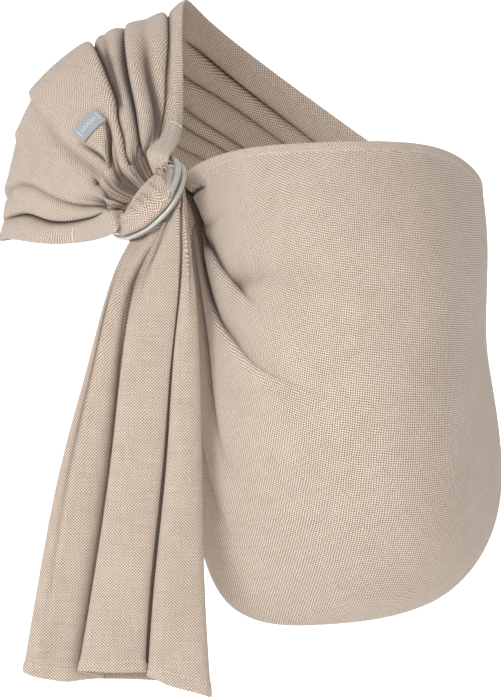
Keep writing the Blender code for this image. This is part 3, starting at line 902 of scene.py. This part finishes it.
def make_wrap_hems(cloth):
    """The hems along both rails of the wrap, with their stitches."""
    hems = (
        ("neck_rail_fold", "neck_rail_hem", WRAP_START, SHOULDER_END, 220, 0),
        ("back_top_fold", "back_top_hem", SHOULDER_END, BACK_END, 170, 0),
        ("pouch_top_fold", "pouch_top_hem", BACK_END, WRAP_END, 220, 0),
        ("arm_rail_fold", "arm_rail_hem", WRAP_START, SHOULDER_END, 220, 1),
        ("back_lower_fold", "back_lower_hem", SHOULDER_END, BACK_END, 170, 1),
        ("pouch_seat_fold", "pouch_seat_hem", BACK_END, WRAP_END, 220, 1),
    )
    made, shoulder_rows, rows = [], [], []
    for name, node, first, last, count, rail in hems:
        piece, seams = hem_piece(cloth, name, np.linspace(first, last, count), rail)
        if last == SHOULDER_END:
            ring_blend(piece)
            shoulder_rows += seams
        else:
            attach(piece, "wrap")
            rows += seams
        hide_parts(node)
        made.append(piece)
    ring_blend(stitch_mesh("shoulder_hem_stitches", shoulder_rows, THREAD_FINISH, "thread"))
    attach(stitch_mesh("wrap_hem_stitches", rows, THREAD_FINISH, "thread"), "wrap")
    return made


# ---------------------------------------------------------------------------------------------- the rings

def make_ring(name, node, body, lift):
    """One ring, as a smooth torus."""
    around, section = np.linspace(0, 2 * math.pi, 145), np.linspace(0, 2 * math.pi, 33)
    radius = RING_RADIUS + WIRE_RADIUS * np.cos(section)[None, :]
    points = (
        RING_CENTRE + LIFT * lift
        + (radius * np.sin(around)[:, None])[..., None] * ALONG
        + (radius * np.cos(around)[:, None])[..., None] * OUT
        + (WIRE_RADIUS * np.sin(section)[None, :] * np.ones((145, 1)))[..., None] * LIFT
    )
    piece = mesh_of(name, [(points, np.zeros((145, 33, 2)))], RING_FINISH, "rings")
    weld(piece)
    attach(piece, body)
    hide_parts(node)
    return piece


def weld(piece):
    """Joins the points of a piece that lie in one place."""
    mesh = bmesh.new()
    mesh.from_mesh(piece.data)
    bmesh.ops.remove_doubles(mesh, verts=mesh.verts, dist=1e-6)
    bmesh.ops.recalc_face_normals(mesh, faces=mesh.faces)
    mesh.to_mesh(piece.data)
    mesh.free()


TURN_SEAM = 2.62  # the place of the turned cloth's row of stitches on its net


def make_turn():
    """The cloth that turns back over the top ring: a smooth band at the gathers, then puckers to the rim."""
    chance = np.random.default_rng(SEED + 1)
    puckers = []
    for number in range(8):
        share = 0.12 + 0.76 * (number + 0.5 + chance.uniform(-0.25, 0.25)) / 8
        deep = chance.uniform(4.0, 6.5)
        lean = chance.uniform(-0.05, 0.05)
        points = [
            (2.6, share, 0),
            (3.2, share + lean / 3, deep),
            (4.0, share + 0.7 * lean, 0.7 * deep),
            (4.9, share + lean, 0),
        ]
        puckers.append(Fold(points, neck=chance.uniform(4, 8), arm=chance.uniform(4, 8), soft=0.5))
    cloth = Cloth(turn_net(), puckers)
    along = np.linspace(0, len(cloth.net) - 1, 141)
    ends = np.zeros(len(along))
    share = cloth.columns(along, ends, ends + 1, 161)
    outer, height = cloth.folded(along, share)
    if np.dot(normals(outer)[60, 80], LIFT) < 0:
        outer, share, height = outer[:, ::-1], share[:, ::-1], height[:, ::-1]
    inner = outer - normals(outer) * CLOTH
    places = cloth.places(along, share)
    piece = mesh_of("turned_cloth", closed_patches(outer, inner, places, height), CLOTH_FINISH, "cloth")
    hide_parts("ring_turn")
    seam = cloth.columns(np.array([TURN_SEAM]), [0.05], [0.93], 90)
    line, _ = cloth.folded(np.linspace(TURN_SEAM - 0.1, TURN_SEAM + 0.1, 3), np.repeat(seam, 3, axis=0))
    facing = normals(line)[1]
    facing *= np.sign(facing @ LIFT)[:, None]
    thread = stitch_mesh("turn_stitches", [(line[1], facing)], THREAD_FINISH, "thread")
    for part in (piece, thread):
        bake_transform(part)
    return piece


# ---------------------------------------------------------------------------------------------- the tail

TAIL_SPLIT = 1.0  # the row of the tail's net where its top stretch gives way to the hanging one
TAIL_END = 5.0
TAIL_TOP_ROWS = 41
TAIL_COLUMNS = 261
END_HEM = 0.15  # the end hem's height, in rows of the tail's net


def tail_blend(piece):
    """Bakes the transform of a piece of the hanging stretch into its points."""
    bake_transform(piece)


def make_tail():
    """The tail's two stretches, the top one and the hanging one, and its hems."""
    chance = np.random.default_rng(SEED + 2)
    cloth = Cloth(tail_net(), TAIL_FOLDS + gathers(chance, 18, 0.0, 1.4, 1.2, 0.03, 0.97))
    low_rows = np.linspace(TAIL_SPLIT, TAIL_END - 0.4 * END_HEM, 181)[1:]
    along = np.concatenate([np.linspace(0, TAIL_SPLIT, TAIL_TOP_ROWS), low_rows])
    inset = 0.4 * HEM_WIDTH
    first, last = cloth.shares_at(along, inset), cloth.shares_at(along, -inset)
    share = cloth.columns(along, first, last, TAIL_COLUMNS, gain=1.0)
    outer, height = cloth.folded(along, share)
    inner = outer - normals(outer) * CLOTH
    places = cloth.places(along, share)
    stretches = []
    split = (("tail_top_cloth", slice(TAIL_TOP_ROWS)), ("tail_cloth", slice(TAIL_TOP_ROWS - 1, None)))
    for name, rows in split:
        patches = closed_patches(outer[rows], inner[rows], places[rows], height[rows])
        stretches.append(mesh_of(name, patches, CLOTH_FINISH, "cloth"))
    top, hanging = stretches
    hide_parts("tail_neck")
    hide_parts("tail_drop")
    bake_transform(top)
    tail_blend(hanging)
    return top, hanging, make_tail_hems(cloth)


def make_tail_hems(cloth):
    """The hems down the tail's sides and across its end, with their stitches."""
    made, rows = [], []
    sides = (("tail_left_fold", "tail_left_hem", 0), ("tail_right_fold", "tail_right_hem", 1))
    for name, node, rail in sides:
        piece, seams = hem_piece(cloth, name, np.linspace(TAIL_SPLIT, TAIL_END, 160), rail)
        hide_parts(node)
        tail_blend(piece)
        made.append(piece)
        rows += seams
    across = hem_steps()[::-1]
    along = TAIL_END - END_HEM * across
    ends = np.zeros(len(along))
    share = cloth.columns(along, ends, ends + 1, TAIL_COLUMNS, gain=1.0)
    middle, _ = cloth.folded(along, share)
    facing = normals(middle)
    middle = middle - facing * CLOTH / 2
    half = 1.15 * hem_profile(across)[:, None, None]
    outer, inner = middle + facing * half, middle - facing * half
    patches = closed_patches(outer, inner, cloth.places(along, share))
    piece = mesh_of("tail_end_fold", patches, HEM_FINISH, "hem")
    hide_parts("tail_end_hem")
    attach(piece, "tail")
    made.append(piece)
    seam = int(np.argmin(np.abs(across - (1 - STITCH_INSET / HEM_WIDTH))))
    rows.append((outer[seam], facing[seam]))
    rows.append((inner[seam], -facing[seam]))
    thread = stitch_mesh("tail_hem_stitches", rows, THREAD_FINISH, "thread")
    tail_blend(thread)
    return made


# ---------------------------------------------------------------------------------------------- trimmings

MOTIF_TEETH = 5  # teeth of the label's zigzag to either side of its middle
MOTIF_STEP = 0.0019
MOTIF_HALF = 0.0022
TACK_LENGTH = 0.0135
TACK_REACH = 0.017  # half the bar's width, in stations
TACK_THREADS = 30
TACK_RADIUS = 0.00028


def make_label(cloth):
    """The grey woven label, a folded ribbon with a plain zigzag in pale thread."""
    station, share = 2.49, 0.535
    half_long, half_wide = 0.0145, 0.0085
    spot = np.array([station]), np.array([[share]])
    down, side = (cloth.flat(*spot, way)[0, 0] for way in ("along", "share"))
    long_way = unit(np.array((0.62, -0.20, 0.75)))
    jacobian = np.stack([down, side], axis=1)
    wide_way = unit(np.cross(unit(np.cross(down, side)), long_way))
    step_long = np.linalg.lstsq(jacobian, long_way, rcond=None)[0]
    step_wide = np.linalg.lstsq(jacobian, wide_way, rcond=None)[0]
    down_ribbon, over_ribbon = np.linspace(-half_long, half_long, 41), np.linspace(-half_wide, half_wide, 25)
    a, b = np.meshgrid(down_ribbon, over_ribbon, indexing="ij")
    stations = station + a * step_long[0] + b * step_wide[0]
    shares = share + a * step_long[1] + b * step_wide[1]
    points = np.zeros((*a.shape, 3))
    for row in range(a.shape[0]):
        points[row] = cloth.folded(stations[row], shares[row][:, None])[0][:, 0]
    facing = unit(np.cross(down, side))
    # The ribbon bridges the folds under it: it takes the cloth's roundness but not its creases.
    terms = np.stack([np.ones(a.size), *(x.ravel() for x in (a, b, a * a, a * b, b * b))], axis=1)
    rested = 0
    for fitted in (terms, terms[:, :3]):
        rested = rested + 0.5 * (fitted @ np.linalg.lstsq(fitted, points.reshape(-1, 3), rcond=None)[0])
    rested = rested.reshape(points.shape)
    outer = rested + facing * 0.0030
    inner = rested + facing * 0.0020
    if normals(outer)[20, 12] @ facing < 0:
        outer, inner, a, b = (x[:, ::-1] for x in (outer, inner, a, b))
    piece = mesh_of("label_ribbon", closed_patches(outer, inner, np.stack([a, b], -1)), LABEL_FINISH, "label")
    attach(piece, "wrap")
    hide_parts("label_tab")
    dashes = []
    for tooth in range(-MOTIF_TEETH, MOTIF_TEETH):
        way = 1 if tooth % 2 else -1
        dashes.append(((tooth, -way * MOTIF_HALF), (tooth + 1, way * MOTIF_HALF)))
    for end in (-MOTIF_TEETH - 1.2, MOTIF_TEETH + 1.2):
        dashes.append(((end, -2.4 * MOTIF_HALF), (end, 2.4 * MOTIF_HALF)))
    long_axis, wide_axis = a[:, 0], b[0]
    patches = []
    for (first, low), (second, high) in dashes:
        steps = np.linspace(0, 1, 5)
        spots = MOTIF_STEP * (first + (second - first) * steps)
        rows = np.interp(spots, long_axis, np.arange(len(long_axis)))
        order = np.argsort(wide_axis)
        columns = np.interp(low + (high - low) * steps, wide_axis[order], np.arange(len(wide_axis))[order])
        line = outer[np.round(rows).astype(int), np.round(columns).astype(int)]
        patches.append(thread_dash(line, np.tile(facing, (5, 1)), 0.00032))
    motif = mesh_of("label_motif", patches, MOTIF_FINISH, "label")
    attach(motif, "wrap")
    return piece, motif


def make_tack(cloth, name, node, station, rail):
    """A bar tack: short threads side by side, in a bar across a hem."""
    spots = np.linspace(0.0008, TACK_LENGTH, TACK_THREADS)
    along = station + TACK_REACH * np.linspace(-1, 1, 5)
    share = np.stack([cloth.shares_at(along, -spot if rail else spot) for spot in spots], axis=1)
    grid, _ = cloth.folded(along, share)
    facing = normals(grid) * (-1 if rail else 1)
    rise = (HEM_HALF - CLOTH / 2) * np.clip((HEM_WIDTH + 0.001 - spots) / 0.002, 0, 1) + 0.0003
    lines = grid + facing * rise[None, :, None]
    patches = [thread_dash(lines[:, k], facing[:, k], TACK_RADIUS) for k in range(TACK_THREADS)]
    piece = mesh_of(name, patches, TACK_FINISH, "thread")
    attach(piece, "wrap")
    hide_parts(node)
    return piece


# ---------------------------------------------------------------------------------------------- the studio

def area_light(name, place, aim, size, power):
    data = bpy.data.lights.new(name, "AREA")
    data.shape = "RECTANGLE"
    data.size, data.size_y = size
    data.energy = power
    made = bpy.data.objects.new(name, data)
    bpy.context.scene.collection.objects.link(made)
    made.location = place
    way = Vector(aim) - Vector(place)
    made.rotation_euler = way.to_track_quat("-Z", "Y").to_euler()
    return made


def make_studio():
    """A pale floor that sweeps up into a backdrop, soft lights and a white surround."""
    floor, wall, radius, half = -1.60, 7.5, 2.0, 9.0
    profile = [(-9.0, floor), (0.0, floor)]
    for step in range(9):
        angle = math.pi / 2 * step / 8
        profile.append((wall - radius + radius * math.sin(angle), floor + radius - radius * math.cos(angle)))
    profile.append((wall, 7.0))
    grid = np.array([[(x, y, z) for x in np.linspace(-half, half, 5)] for y, z in profile])
    patches = [(grid[:, ::-1], np.zeros((*grid.shape[:2], 2)))]
    sweep = mesh_of("studio_sweep", patches, studio_material(), "cloth")
    del sweep["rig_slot"]
    area_light("key_light", (-1.9, -2.6, 0.8), (0.1, 0.0, -0.3), (2.0, 2.0), 57)
    area_light("fill_light", (0.5, -3.4, 0.9), (0.1, 0.0, -0.2), (1.6, 1.6), 24)
    area_light("backdrop_light", (0.1, 5.0, 3.2), (0.1, 7.5, -0.3), (4.0, 1.5), 190)
    world = bpy.data.worlds.new("studio_surround")
    world.use_nodes = True
    surround = world.node_tree.nodes["Background"]
    surround.inputs["Color"].default_value = (1, 1, 1, 1)
    surround.inputs["Strength"].default_value = 0.52
    bpy.context.scene.world = world
    bpy.context.scene.view_settings.view_transform = "Standard"


def make_camera():
    data = bpy.data.cameras.new("camera")
    data.sensor_fit = "VERTICAL"
    data.sensor_height = 36.0
    data.lens = 168.5
    data.clip_end = 50
    made = bpy.data.objects.new("camera", data)
    bpy.context.scene.collection.objects.link(made)
    made.location = (0.1013, -3.0, -0.3022)
    made.rotation_euler = (math.radians(90), 0, 0)
    bpy.context.scene.camera = made


def main():
    wrap = wrap_cloth()
    shoulder, back, pouch = make_wrap(wrap)
    hems = make_wrap_hems(wrap)
    make_ring("bottom_ring_wire", "ring_bottom", "bottom_ring", 0.0)
    make_ring("top_ring_wire", "ring_top", "top_ring", RING_PITCH)
    turn = make_turn()
    top, hanging, tail_hems = make_tail()
    label, motif = make_label(wrap)
    make_tack(wrap, "neck_tack", "neck_bar_tack", 2.12, 0)
    make_tack(wrap, "arm_tack", "arm_bar_tack", 2.17, 1)
    # The flat size of each stretch, width and length, as modelled. The hidden laps of the pleats aren't.
    wrap_sheets = (
        (shoulder, (0.27, 0.36), "draped", "pouch_cloth", [hems[0], hems[3]]),
        (back, (0.33, 0.64), "draped", "shoulder_cloth", [hems[1], hems[4]]),
        (pouch, (0.38, 0.53), "hung", "back_cloth", [hems[2], hems[5]]),
    )
    for piece, flat, held, rest, edges in wrap_sheets:
        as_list(edges)
    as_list(tail_hems)
    make_studio()
    make_camera()


main()
